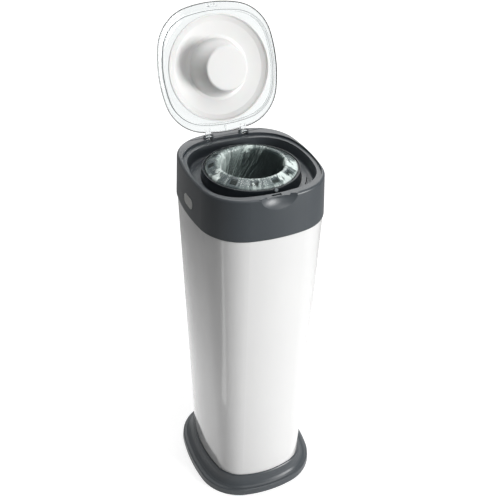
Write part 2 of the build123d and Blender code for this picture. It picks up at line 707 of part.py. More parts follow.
def grip_fingers():
    """A clamp ring whose springy tongues slope in to hold the twisted film."""
    top = WELL_FLOOR_Z
    low = top - FINGER_DROP
    slope_in = FINGER_OPENING
    cone = turned(
        [
            (WELL_HOLE - 2.5, top),
            (WELL_HOLE + 8, top),
            (WELL_HOLE + 8, top - 2.6),
            (WELL_HOLE - 0.5, top - 2.6),
            (slope_in + FINGER_THICKNESS, low),
            (slope_in, low + 0.8),
            (WELL_HOLE - 3.5, top - 1.4),
        ]
    )
    for i in range(FINGERS):
        slit = box((slope_in - 4, WELL_HOLE - 4), (-FINGER_GAP / 2, FINGER_GAP / 2), (low - 2, top + 1))
        cone -= Pos(0, RING_Y, 0) * Rot(0, 0, 360 * (i + 0.5) / FINGERS) * slit
    return cone


def cutter_y():
    return RING_Y - WELL_HOLE - 8 - SEAT_GAP - CUTTER_DEPTH


def cutter_guard():
    half = CUTTER_WIDTH / 2
    y = cutter_y()
    guard = box((-half, half), (y, y + CUTTER_DEPTH), (WELL_FLOOR_Z - CUTTER_HEIGHT, WELL_FLOOR_Z))
    guard = guard.fillet(2.0, guard.edges().filter_by(Axis.Z))
    slot_low = WELL_FLOOR_Z - CUTTER_HEIGHT / 2 - CUTTER_SLOT / 2
    slot = box((-half - 1, half - 8), (y - 1, y + CUTTER_DEPTH + 1), (slot_low, slot_low + CUTTER_SLOT))
    blade_room = cutter_blade_form(0.1)
    return guard - slot - blade_room


def cutter_blade_form(grow):
    """A trapezium blade that crosses the guard's slot at a slant."""
    low = WELL_FLOOR_Z - CUTTER_HEIGHT + 2.5
    high = WELL_FLOOR_Z - 2.5
    right = CUTTER_WIDTH / 2 - 5
    slant = 3 * grow
    outline = Polyline(
        (right - 16 - slant, high + grow),
        (right + grow, high + grow),
        (right + grow, low - grow),
        (right - 6 - slant, low - grow),
        (right - 16 - slant, high + grow),
    )
    blade = extrude(Plane.XZ * make_face(outline), amount=0.3 + grow, both=True)
    return Pos(0, cutter_y() + CUTTER_DEPTH / 2, 0) * blade


def cutter_blade():
    return cutter_blade_form(0.0)


# ---- Turntable ------------------------------------------------------------------------------
def pip_frame():
    """The place on the ring's shoulder that carries the index pip, facing out and up."""
    x, y = around_point(TURN_OUTER + 0.4, PIP_ANGLE)
    turn = math.radians(PIP_ANGLE)
    tilt = math.radians(PIP_TILT)
    out = (math.cos(tilt) * math.cos(turn), math.cos(tilt) * math.sin(turn), math.sin(tilt))
    return Plane(origin=(x, y, RING_TOP_Z - 3.4), z_dir=out)


def twist_ring():
    """The hand ring: a bevelled skirt that covers the deck's hole, on the carrier's wall."""
    foot_z = DECK_Z + 0.5
    ring = turned(
        [
            (TURN_INNER, RING_SPLIT_Z),
            (TURN_OUTER, RING_SPLIT_Z),
            (TURN_OUTER, RING_TOP_Z - 7),
            (RING_FOOT - RING_WALL, foot_z),
            (RING_FOOT, foot_z),
            (TURN_OUTER + 0.6, RING_TOP_Z),
            (TURN_INNER, RING_TOP_Z),
        ],
        rounds={5: 1.2, 6: 0.5},
    )
    boss = pip_frame() * Cylinder(PIP_RADIUS + 1.0, 2.0)
    ring += boss - tube(TURN_INNER + 0.4, 0.0, RING_SPLIT_Z, RING_TOP_Z + 5)
    return ring - pip_frame() * Pos(0, 0, 1.2) * Cylinder(PIP_RADIUS, 2.0)


def index_pip():
    return pip_frame() * Pos(0, 0, 0.9) * Cylinder(PIP_RADIUS - 0.05, 1.3)


def cassette_carrier():
    """The cup that the cassette stands in, with click teeth round it and dog holes in its floor."""
    carrier = turned(
        [
            (WELL_HOLE, TURN_FLOOR_Z),
            (TURN_OUTER, TURN_FLOOR_Z),
            (TURN_OUTER, RING_SPLIT_Z),
            (TURN_INNER, RING_SPLIT_Z),
            (TURN_INNER, TURN_FLOOR_Z + TURN_FLOOR),
            (WELL_HOLE, TURN_FLOOR_Z + TURN_FLOOR),
        ]
    )
    half = TOOTH_WIDTH / 2
    outline = Polyline(
        (TURN_OUTER - 0.5, -half),
        (TOOTH_RADIUS, -half / 3),
        (TOOTH_RADIUS, half / 3),
        (TURN_OUTER - 0.5, half),
        (TURN_OUTER - 0.5, -half),
    )
    tooth = Pos(0, RING_Y, TOOTH_Z) * extrude(make_face(outline), amount=TOOTH_LENGTH)
    pitch = 360 / CLICK_TEETH
    carrier += [around(tooth, PAWL_ANGLE + pitch * (i + 0.5)) for i in range(CLICK_TEETH)]
    for i in range(DRIVE_DOGS):
        carrier -= around(dog(SEAT_GAP), 360 * i / DRIVE_DOGS)
    return carrier


def dog(gap):
    """One foot of the cassette, which drops into the carrier's floor."""
    middle = (CORE_RADIUS + CASSETTE_RADIUS) / 2
    x = (middle - 5 - gap, middle + 5 + gap)
    y = (RING_Y - 4 - gap, RING_Y + 4 + gap)
    return box(x, y, (TURN_FLOOR_Z - gap + 0.2, CASSETTE_FLOOR_Z + 0.4))


# ---- Film cassette --------------------------------------------------------------------------
def cassette_tub():
    """The cassette's outer cup, open in the middle for its core."""
    low = CASSETTE_FLOOR_Z
    hole = CORE_RADIUS + CORE_FLANGE / 2
    tub = turned(
        [
            (hole, low),
            (CASSETTE_RADIUS, low),
            (CASSETTE_RADIUS, CASSETTE_TOP_Z),
            (CASSETTE_RADIUS - CASSETTE_WALL, CASSETTE_TOP_Z),
            (CASSETTE_RADIUS - CASSETTE_WALL, low + CASSETTE_WALL),
            (hole, low + CASSETTE_WALL),
        ]
    )
    for i in range(DRIVE_DOGS):
        tub += around(dog(0.0), 360 * i / DRIVE_DOGS)
    return tub


def cassette_core():
    """The core that the film is packed on, whose flange lies on the tub's floor."""
    low = CASSETTE_FLOOR_Z + CASSETTE_WALL
    top = CAP_CROWN_Z - 6.0
    return turned(
        [
            (CORE_INNER, low),
            (CORE_RADIUS + CORE_FLANGE, low),
            (CORE_RADIUS + CORE_FLANGE, low + CASSETTE_WALL),
            (CORE_RADIUS, low + CASSETTE_WALL),
            (CORE_RADIUS, top),
            (CORE_INNER, top),
        ]
    )


def cap_profile():
    """The cap's upper face from its outer edge to its lip, as (radius, height) points."""
    return [
        (CAP_RADIUS, CASSETTE_TOP_Z - 0.3),
        (CAP_RADIUS - 2.6, CASSETTE_TOP_Z + 2.0),
        (CORE_RADIUS + 3.0, CAP_CROWN_Z - 0.9),
        (CORE_RADIUS + 0.2, CAP_CROWN_Z),
        (CORE_INNER, CAP_CROWN_Z - 1.6),
    ]


def cassette_cap():
    under = CAP_CROWN_Z - 6.0
    points = cap_profile() + [
        (CORE_INNER, under),
        (CORE_RADIUS, under),
        (CORE_RADIUS + CAP_THICKNESS, under + 2.4),
        (CAP_RADIUS - 3.2, CASSETTE_TOP_Z + 0.2),
        (CAP_RADIUS - CAP_THICKNESS, CASSETTE_TOP_Z - 1.8),
        (CAP_RADIUS - CAP_THICKNESS, CASSETTE_TOP_Z - 4.5),
        (CAP_RADIUS, CASSETTE_TOP_Z - 4.5),
    ]
    cap = turned(points)
    middle = (CAP_RADIUS + CORE_RADIUS) / 2
    x = (middle - WINDOW_LENGTH / 2, middle + WINDOW_LENGTH / 2)
    y = (RING_Y - WINDOW_WIDTH / 2, RING_Y + WINDOW_WIDTH / 2)
    window = box(x, y, (CASSETTE_TOP_Z - 3, CAP_CROWN_Z + 3))
    for i in range(CAP_WINDOWS):
        cap -= around(window, 360 * (i + 0.4) / CAP_WINDOWS)
    return cap


def film_pack():
    outer = CASSETTE_RADIUS - CASSETTE_WALL - SEAT_GAP
    return tube(outer, CORE_RADIUS + SEAT_GAP, PACK_Z, PACK_Z + PACK_HEIGHT)


def film_sleeve():
    """The film's way from the pack, over the cap and down the core."""
    start_z = PACK_Z + PACK_HEIGHT + SEAT_GAP
    edge = CAP_RADIUS + 0.4
    over = [(r, z + FILM_GAP) for r, z in cap_profile()[1:4]]
    rise = [(r, z + FILM) for r, z in reversed(over)]
    return turned(
        [
            (edge, start_z),
            (edge, CASSETTE_TOP_Z + 0.2),
            *over,
            (FILM_OUTER, CAP_CROWN_Z - 1.6),
            (FILM_OUTER, CASSETTE_FLOOR_Z),
            (FILM_OUTER - FILM, CASSETTE_FLOOR_Z),
            (FILM_OUTER - FILM, CAP_CROWN_Z - 1.0),
            *rise,
            (edge + FILM, CASSETTE_TOP_Z + 0.6),
            (edge + FILM, start_z),
        ]
    )


def film_bag():
    """The film below the core: a funnel through the fingers, its twist, knot and tail."""
    top = CASSETTE_FLOOR_Z - SEAT_GAP
    low = WELL_FLOOR_Z - FINGER_DROP
    inner = FINGER_OPENING - 0.6
    tail_low = KNOT_Z - KNOT_RADIUS - TAIL_LENGTH
    return turned(
        [
            (FILM_OUTER, top),
            (FILM_OUTER, WELL_FLOOR_Z + 2.0),
            (inner, low + 1.4),
            (TAIL_RADIUS, low - 8.0),
            (TAIL_RADIUS, KNOT_Z + KNOT_RADIUS - 3.0),
            (KNOT_RADIUS, KNOT_Z),
            (TAIL_RADIUS - 1.0, KNOT_Z - KNOT_RADIUS + 1.0),
            (TAIL_RADIUS + 2.5, tail_low),
            (0.0, tail_low),
            (0.0, low - 6.5),
            (TAIL_RADIUS - 3.0, low - 6.5),
            (inner - FILM, low + 2.2),
            (FILM_OUTER - FILM, WELL_FLOOR_Z + 2.3),
            (FILM_OUTER - FILM, top),
        ]
    )


# ---- Lid and plunger ------------------------------------------------------------------------
def lid_form(inset):
    """The lid's bowed outline under a shallow dome."""
    radius = LID_DOME_RADIUS - inset
    centre_z = LID_Z + LID_CROWN - LID_DOME_RADIUS
    block = prism(LID.inset(inset), LID_Z - (0.5 if inset else 0.0), LID_Z + 3 * LID_CROWN)
    dome = Pos(0, LID.y, centre_z) * Sphere(radius)
    return block & dome


def skirt(outset, wall, low, high):
    outline = RECESS.inset(SKIRT_GAP - outset)
    return prism(outline, low, high) - prism(outline.inset(wall), low - 1, high + 1)


def lid_arm():
    """One hinge arm: two ribs and a web from the lid's rear edge to a barrel."""
    half = HINGE_ARM_WIDTH / 2
    x = (HINGE_SPREAD - half, HINGE_SPREAD + half)
    low = LID_Z + 1.4
    high = LID_AXIS_Z + HINGE_BARREL - 0.6
    arm = rod_x(HINGE_BARREL, *x, LID_AXIS_Y, LID_AXIS_Z)
    for side in (x[0], x[1] - LID_WALL):
        rib = box((side, side + LID_WALL), (LID_REAR_Y - 9.0, LID_AXIS_Y), (low + 1.4, high - 1.0))
        arm += rib
    arm += box(x, (LID_REAR_Y - 4.0, LID_AXIS_Y), (low + 2.4, low + 4.4))
    return arm


def lid_shell():
    outer = lid_form(0.0)
    crest = outer.edges().filter_by(lambda e: e.center().Z > LID_Z + 1.0)
    crest = crest.filter_by(lambda e: abs(e.center().Z - LID_Z) < LID_CROWN - 2.0)
    level = [e for e in crest if abs(e.vertices()[0].Z - e.vertices()[-1].Z) < 1.5]
    outer = outer.fillet(LID_ROUND, level)
    shell = outer - lid_form(LID_WALL)
    shell += skirt(0.0, SKIRT_WALL, LID_Z - SKIRT_DEPTH, LID_Z + LID_CROWN) & lid_form(LID_WALL / 2)
    low_skirt = skirt(0.0, SKIRT_WALL, LID_Z - SKIRT_DEPTH, LID_Z + 1.0)
    shell += low_skirt
    hook_y = LID_FRONT_Y + HOOK_INSET
    half = HOOK_WIDTH / 2
    stem = box((-half, half), (hook_y, hook_y + HOOK_THICKNESS), (LID_Z - HOOK_LENGTH, LID_Z + LID_CROWN))
    nib_z = (LID_Z - HOOK_LENGTH, LID_Z - HOOK_LENGTH + 2.0)
    stem += box((-half, half), (hook_y, hook_y + HOOK_THICKNESS + HOOK_NIB), nib_z)
    for i in range(GRIP_RIBS):
        x = 5.5 * (i - (GRIP_RIBS - 1) / 2)
        stem += box((x - 0.8, x + 0.8), (LID_FRONT_Y + 1.5, hook_y + 0.5), (LID_Z, LID_Z + LID_CROWN))
    stem += box((-0.8, 0.8), (LID_REAR_Y - LEDGE_ENDS + 1.0, LID_REAR_Y - 1.5), (LID_Z, LID_Z + LID_CROWN))
    room = lid_form(LID_WALL / 2) + box((-half, half), (hook_y, hook_y + 5), (LID_Z - 20, LID_Z + 2))
    shell += stem & room
    arms = both_sides(lid_arm())
    shell += arms
    shell -= rod_x(HINGE_PIN_RADIUS + PIN_RUN, -BODY_TOP_WIDTH, BODY_TOP_WIDTH, LID_AXIS_Y, LID_AXIS_Z)
    return opened(shell)


def lid_seal():
    """A soft bead in the corner between the lid's skirt and the recess wall."""
    bead = SKIRT_GAP - SEAL_GAP
    low = LID_Z - SKIRT_DEPTH + 0.6
    ring = skirt(bead, bead - 0.05, low, low + SEAL_HEIGHT)
    return opened(ring)


def plunger():
    """A dished plate with a hollow cup that presses the bundle down as the lid shuts."""
    edge_z = LID_Z - PLATE_DROP
    flat_z = edge_z + PLATE_RISE
    end_z = flat_z - CUP_LENGTH
    wall = PLUNGER_WALL
    points = [
        (0.0, end_z),
        (CUP_END_RADIUS, end_z),
        (CUP_BASE_RADIUS - 3.5, flat_z - 9.0),
        (CUP_BASE_RADIUS, flat_z - 0.6),
        (CUP_BASE_RADIUS + 6.0, flat_z),
        (TURN_OUTER - 2.0, edge_z + 9.0),
        (PLATE_RADIUS - 4.5, edge_z + 4.2),
        (PLATE_RADIUS - 2.0, edge_z),
        (PLATE_RADIUS, edge_z),
        (PLATE_RADIUS, edge_z + 4.5),
        (PLATE_RADIUS - 4.0, edge_z + 6.4),
        (TURN_OUTER - 2.0, edge_z + 9.0 + wall),
        (CUP_BASE_RADIUS + 8.0, flat_z + wall),
        (CUP_BASE_RADIUS + 8.0, flat_z + wall + RIB_HEIGHT),
        (CUP_BASE_RADIUS + 6.0, flat_z + wall + RIB_HEIGHT),
        (CUP_BASE_RADIUS + 6.0, flat_z + wall),
        (CUP_BASE_RADIUS - wall, flat_z + wall),
        (CUP_BASE_RADIUS - 3.5 - wall, flat_z - 9.0),
        (CUP_END_RADIUS - wall, end_z + wall),
        (0.0, end_z + wall),
    ]
    return opened(turned(points, rounds={1: 4.0, 3: 2.0}))


# ---- Release buttons ------------------------------------------------------------------------
def latch_button():
    """The -X button: its face is flush in the collar, its arm hooks into the spigot frame."""
    face = button_prism(0.0, -BUTTON_X - 6.0, -FLANGE_X + 1.0) & collar_form(-BUTTON_PROUD)
    half_y = BUTTON_LENGTH / 2 + 2.0
    low = BODY_TOP_Z + SPIGOT_HEIGHT + BUTTON_GAP
    top = BUTTON_Z + BUTTON_HEIGHT / 2 + 2.0
    flange = box((-FLANGE_X, -FLANGE_X + 2.2), (BUTTON_Y - half_y, BUTTON_Y + half_y), (low + 3.0, top))
    flange &= collar_form(COLLAR_WALL + BUTTON_GAP)
    arm_y = (BUTTON_Y - BUTTON_LENGTH / 4, BUTTON_Y + BUTTON_LENGTH / 4)
    block = box((-FLANGE_X, -SPRING_SEAT), arm_y, (BUTTON_Z - 6.0, BUTTON_Z + 6.0))
    arm = box((-ARM_X, -SPRING_SEAT), arm_y, (NOSE_Z - 1.0, BUTTON_Z))
    nose = box((-ARM_X - NOSE_REACH, -ARM_X), arm_y, (NOSE_Z, NOSE_Z + NOSE_HEIGHT))
    return face + flange + block + arm + nose


def latch_spring():
    """A coil between the button's arm and its seat on the well."""
    length = SPRING_SEAT - PAD_X - 2 * SEAT_GAP - SPRING_WIRE
    path = Helix(length / SPRING_TURNS, length, SPRING_RADIUS)
    section = Plane(origin=path @ 0, z_dir=path % 0) * Circle(SPRING_WIRE / 2)
    coil = sweep(section, path=path)
    start = Pos(-SPRING_SEAT + SEAT_GAP + SPRING_WIRE / 2, BUTTON_Y, BUTTON_Z)
    return start * Rot(0, 90, 0) * coil


# ---- Files ----------------------------------------------------------------------------------
NODES = {
    "foot_plinth": foot_plinth,
    "base_plate": base_plate,
    "base_screws": base_screws,
    "rubber_pads": rubber_pads,
    "body_shell": body_shell,
    "body_rim": body_rim,
    "head_hinge_pin": head_hinge_pin,
    "collar": collar,
    "recess_tray": recess_tray,
    "lid_catch": lid_catch,
    "lid_hinge_pins": lid_hinge_pins,
    "well_housing": well_housing,
    "well_screws": well_screws,
    "click_pawl": click_pawl,
    "grip_fingers": grip_fingers,
    "cutter_guard": cutter_guard,
    "cutter_blade": cutter_blade,
    "twist_ring": twist_ring,
    "index_pip": index_pip,
    "cassette_carrier": cassette_carrier,
    "cassette_tub": cassette_tub,
    "cassette_core": cassette_core,
    "cassette_cap": cassette_cap,
    "film_pack": film_pack,
    "film_sleeve": film_sleeve,
    "film_bag": film_bag,
    "lid_shell": lid_shell,
    "lid_seal": lid_seal,
    "plunger": plunger,
    "latch_button_left": latch_button,
    "latch_button_right": lambda: mirror(latch_button(), about=Plane.YZ),
    "latch_spring_left": latch_spring,
    "latch_spring_right": lambda: mirror(latch_spring(), about=Plane.YZ),
}


def main():
    os.makedirs("parts", exist_ok=True)
    for name, make in NODES.items():
        shape = make()
        if isinstance(shape, list):
            shape = Compound([solid for item in shape for solid in item.solids()])
        export_step(shape, f"parts/{name}.step")


if __name__ == "__main__":
    main()
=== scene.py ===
import math

import bpy
from mathutils import Matrix, Vector, noise


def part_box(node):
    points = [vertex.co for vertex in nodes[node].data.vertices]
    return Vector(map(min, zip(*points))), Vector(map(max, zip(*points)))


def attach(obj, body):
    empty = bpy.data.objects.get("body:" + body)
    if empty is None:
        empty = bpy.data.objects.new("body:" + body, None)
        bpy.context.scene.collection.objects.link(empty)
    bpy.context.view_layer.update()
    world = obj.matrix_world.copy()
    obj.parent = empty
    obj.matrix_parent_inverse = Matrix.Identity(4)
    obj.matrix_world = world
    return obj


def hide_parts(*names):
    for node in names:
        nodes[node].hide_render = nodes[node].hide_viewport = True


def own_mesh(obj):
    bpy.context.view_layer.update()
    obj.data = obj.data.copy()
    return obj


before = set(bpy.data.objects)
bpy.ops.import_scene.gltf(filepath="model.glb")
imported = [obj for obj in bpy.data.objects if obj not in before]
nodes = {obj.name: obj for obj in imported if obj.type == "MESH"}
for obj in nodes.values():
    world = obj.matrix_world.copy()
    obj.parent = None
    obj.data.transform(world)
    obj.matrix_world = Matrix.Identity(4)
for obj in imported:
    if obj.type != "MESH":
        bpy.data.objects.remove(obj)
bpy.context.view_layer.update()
print("frame loaded:", len(nodes), "nodes")


# camera: stands where the photographer stood, in front to the left and above
viewpoint = {
    "azimuth": -23.15,  # degrees round from the front
    "elevation": 33.95,
    "roll": 1.05,
    "distance": 1.5275,  # metres to the point that it aims at
    "aim": (0.00005, 0.0, 0.49965),
    "lens": 61.75,
    "sensor": 36.0,
    "farthest": 60.0,
}


def placeCamera():
    lens = bpy.data.cameras.new("photoCamera")
    lens.lens = viewpoint["lens"]
    lens.sensor_width = viewpoint["sensor"]
    lens.clip_end = viewpoint["farthest"]
    camera = bpy.data.objects.new("photoCamera", lens)
    bpy.context.scene.collection.objects.link(camera)
    turn = Matrix.Rotation(math.radians(viewpoint["azimuth"]), 4, "Z")
    tip = Matrix.Rotation(math.radians(90.0 - viewpoint["elevation"]), 4, "X")
    roll = Matrix.Rotation(math.radians(viewpoint["roll"]), 4, "Z")
    look = turn @ tip @ roll
    back = look.to_3x3() @ Vector((0.0, 0.0, 1.0))
    place = Vector(viewpoint["aim"]) + back * viewpoint["distance"]
    camera.matrix_world = Matrix.Translation(place) @ look
    bpy.context.scene.camera = camera


placeCamera()
print("camera placed")


# sRGB hex to linear RGBA
def toLinear(hexText):
    channels = [int(hexText[i : i + 2], 16) / 255.0 for i in (1, 3, 5)]
    linear = [c / 12.92 if c <= 0.04045 else ((c + 0.055) / 1.055) ** 2.4 for c in channels]
    return linear + [1.0]


def perMm(size):
    return 1000.0 / size  # texture scale for features of that many millimetres


def addNode(tree, kind, inputs=None, **settings):
    node = tree.nodes.new(kind)
    for name, value in settings.items():
        setattr(node, name, value)
    for socket, value in (inputs or {}).items():
        if isinstance(value, bpy.types.NodeSocket):
            tree.links.new(value, node.inputs[socket])
        else:
            node.inputs[socket].default_value = value
    return node


def newMaterial(name):
    material = bpy.data.materials.new(name)
    material.use_nodes = True
    material.node_tree.nodes.clear()
    return material, material.node_tree


# what all the moulded plastics share
moulding = {
    "roughnessSpread": 0.04,  # the mould grain makes the gloss vary by this much
    "grainStrength": 0.6,
    "coatRoughness": 0.03,
    "glowDepth": 0.002,  # metres that light goes into a milky plastic
}


# moulded plastics: a two-tone mottle, and a mould grain in the bump and in the roughness
# mottle, grain and depth are millimetres
def mouldedPlastic(name, finish):
    material, tree = newMaterial(name)
    place = addNode(tree, "ShaderNodeTexCoord").outputs["Object"]
    cloud = addNode(
        tree,
        "ShaderNodeTexNoise",
        {"Vector": place, "Scale": perMm(finish["mottle"]), "Detail": 3.0, "Roughness": 0.5},
    )
    tone = addNode(
        tree,
        "ShaderNodeMix",
        {0: cloud.outputs["Fac"], 6: toLinear(finish["dark"]), 7: toLinear(finish["light"])},
        data_type="RGBA",
    )
    grain = addNode(
        tree,
        "ShaderNodeTexNoise",
        {"Vector": place, "Scale": perMm(finish["grain"]), "Detail": 2.0, "Roughness": 0.6},
    )
    shine = addNode(
        tree,
        "ShaderNodeMapRange",
        {
            "Value": grain.outputs["Fac"],
            "From Min": 0.3,
            "From Max": 0.7,
            "To Min": finish["roughness"] - moulding["roughnessSpread"],
            "To Max": finish["roughness"] + moulding["roughnessSpread"],
        },
    )
    bump = addNode(
        tree,
        "ShaderNodeBump",
        {
            "Height": grain.outputs["Fac"],
            "Strength": moulding["grainStrength"],
            "Distance": finish["depth"] / 1000.0,
        },
    )
    shader = addNode(
        tree,
        "ShaderNodeBsdfPrincipled",
        {
            "Base Color": tone.outputs[2],
            "Roughness": shine.outputs["Result"],
            "Normal": bump.outputs["Normal"],
            "IOR": finish["ior"],
            "Coat Weight": finish.get("coat", 0.0),
            "Coat Roughness": moulding["coatRoughness"],
            "Subsurface Weight": finish.get("glow", 0.0),
            "Subsurface Scale": moulding["glowDepth"],
        },
    )
    addNode(tree, "ShaderNodeOutputMaterial", {"Surface": shader.outputs["BSDF"]})
    return material


# textured polypropylene off a spark-eroded mould: even, matt slate grey with a soft sheen
slatePolypropylene = mouldedPlastic(
    "slatePolypropylene",
    {
        "light": "#42484d",
        "dark": "#3c4247",
        "mottle": 60,
        "grain": 1.1,
        "depth": 0.08,
        "roughness": 0.38,
        "ior": 1.6,
    },
)
# polished white ABS: bright gloss with the faint waviness of a big moulding
polishedAbs = mouldedPlastic(
    "polishedAbs",
    {
        "light": "#f4f4f3",
        "dark": "#efefef",
        "mottle": 140,
        "grain": 46.0,
        "depth": 0.25,
        "roughness": 0.14,
        "ior": 1.53,
        "coat": 0.6,
    },
)
# satin ABS, near black: the hand ring, rubbed a little smoother than the collar
ringAbs = mouldedPlastic(
    "ringAbs",
    {
        "light": "#252b30",
        "dark": "#1e2428",
        "mottle": 25,
        "grain": 1.0,
        "depth": 0.05,
        "roughness": 0.36,
        "ior": 1.52,
    },
)
# satin white polypropylene: slightly waxy and milky
satinPolypropylene = mouldedPlastic(
    "satinPolypropylene",
    {
        "light": "#f0f0ef",
        "dark": "#ebebea",
        "mottle": 45,
        "grain": 1.2,
        "depth": 0.04,
        "roughness": 0.38,
        "ior": 1.49,
        "glow": 0.08,
    },
)
# mid grey recycled polypropylene of the cassette: uneven, slightly streaky tone
cassettePolypropylene = mouldedPlastic(
    "cassettePolypropylene",
    {
        "light": "#48545a",
        "dark": "#3b464b",
        "mottle": 14,
        "grain": 1.4,
        "depth": 0.06,
        "roughness": 0.38,
        "ior": 1.49,
    },
)
# the cassette's grey darkened to near black for its tub and core: painted shade, for the shade
# they sit in under the cap
shadedCassettePolypropylene = mouldedPlastic(
    "shadedCassettePolypropylene",
    {
        "light": "#2b3135",
        "dark": "#23292c",
        "mottle": 14,
        "grain": 1.4,
        "depth": 0.06,
        "roughness": 0.42,
        "ior": 1.49,
    },
)
# plain grey inner mouldings, as they come off the tool
innerPolypropylene = mouldedPlastic(
    "innerPolypropylene",
    {
        "light": "#8b9093",
        "dark": "#80868a",
        "mottle": 30,
        "grain": 1.3,
        "depth": 0.06,
        "roughness": 0.5,
        "ior": 1.49,
    },
)
# pale grey polycarbonate of the push buttons
buttonPolycarbonate = mouldedPlastic(
    "buttonPolycarbonate",
    {
        "light": "#d3d4d1",
        "dark": "#cacbc8",
        "mottle": 20,
        "grain": 0.9,
        "depth": 0.03,
        "roughness": 0.3,
        "ior": 1.58,
    },
)
# smoky acetal of the index pip
pipAcetal = mouldedPlastic(
    "pipAcetal",
    {
        "light": "#8e989c",
        "dark": "#838d91",
        "mottle": 8,
        "grain": 0.8,
        "depth": 0.02,
        "roughness": 0.3,
        "ior": 1.48,
    },
)
# vulcanised rubber pads: dull and almost black
padRubber = mouldedPlastic(
    "padRubber",
    {
        "light": "#26282a",
        "dark": "#1f2123",
        "mottle": 12,
        "grain": 0.8,
        "depth": 0.08,
        "roughness": 0.8,
        "ior": 1.52,
    },
)
# moulded silicone bead of the lid: smooth mid grey
sealSilicone = mouldedPlastic(
    "sealSilicone",
    {
        "light": "#7f8487",
        "dark": "#74797c",
        "mottle": 18,
        "grain": 1.2,
        "depth": 0.03,
        "roughness": 0.45,
        "ior": 1.41,
    },
)

zinc = {"dark": "#a9acae", "light": "#c6c8c9", "line": 0.4, "roughness": (0.24, 0.42)}


# zinc-plated steel: fine drawn lines along the wire or pin, cool and fairly bright
def zincSteel():
    material, tree = newMaterial("zincSteel")
    place = addNode(tree, "ShaderNodeTexCoord").outputs["Object"]
    drawn = addNode(tree, "ShaderNodeMapping", {"Vector": place, "Scale": (0.1, 1.0, 1.0)})
    lines = addNode(
        tree,
        "ShaderNodeTexNoise",
        {"Vector": drawn.outputs["Vector"], "Scale": perMm(zinc["line"]), "Detail": 4.0},
    )
    tone = addNode(
        tree,
        "ShaderNodeMix",
        {0: lines.outputs["Fac"], 6: toLinear(zinc["dark"]), 7: toLinear(zinc["light"])},
        data_type="RGBA",
    )
    smooth, rough = zinc["roughness"]
    worn = addNode(
        tree,
        "ShaderNodeMapRange",
        {"Value": lines.outputs["Fac"], "To Min": smooth, "To Max": rough},
    )
    shader = addNode(
        tree,
        "ShaderNodeBsdfPrincipled",
        {"Base Color": tone.outputs[2], "Roughness": worn.outputs["Result"], "Metallic": 1.0},
    )
    addNode(tree, "ShaderNodeOutputMaterial", {"Surface": shader.outputs["BSDF"]})
    return material


clear = {"tint": "#e9ecec", "haze": 40, "roughness": (0.02, 0.09), "ior": 1.57}


# clear styrene-acrylonitrile, polished: see-through with darker edges and faint handling haze
def clearStyrene():
    material, tree = newMaterial("clearStyrene")
    place = addNode(tree, "ShaderNodeTexCoord").outputs["Object"]
    haze = addNode(
        tree,
        "ShaderNodeTexNoise",
        {"Vector": place, "Scale": perMm(clear["haze"]), "Detail": 3.0},
    )
    smooth, rough = clear["roughness"]
    handled = addNode(
        tree,
        "ShaderNodeMapRange",
        {
            "Value": haze.outputs["Fac"],
            "From Min": 0.35,
            "From Max": 0.75,
            "To Min": smooth,
            "To Max": rough,
        },
    )
    shader = addNode(
        tree,
        "ShaderNodeBsdfPrincipled",
        {
            "Base Color": toLinear(clear["tint"]),
            "Roughness": handled.outputs["Result"],
            "IOR": clear["ior"],
            "Transmission Weight": 1.0,
        },
    )
    addNode(tree, "ShaderNodeOutputMaterial", {"Surface": shader.outputs["BSDF"]})
    return material


polythene = {
    "thin": "#a3b5b2",
    "milkyAndSheen": "#eefaf6",
    "streak": 3.2,  # mm across the fine streaks, and across the patches below
    "patch": 13,
    "streakGain": 1.3,
    "milkyFrom": (0.3, 1.0),  # from clear to as milky as it gets
    "cover": (0.06, 0.96),
    "creaseDepth": 0.0006,  # metres
    "roughness": 0.18,
    "ior": 1.51,
}


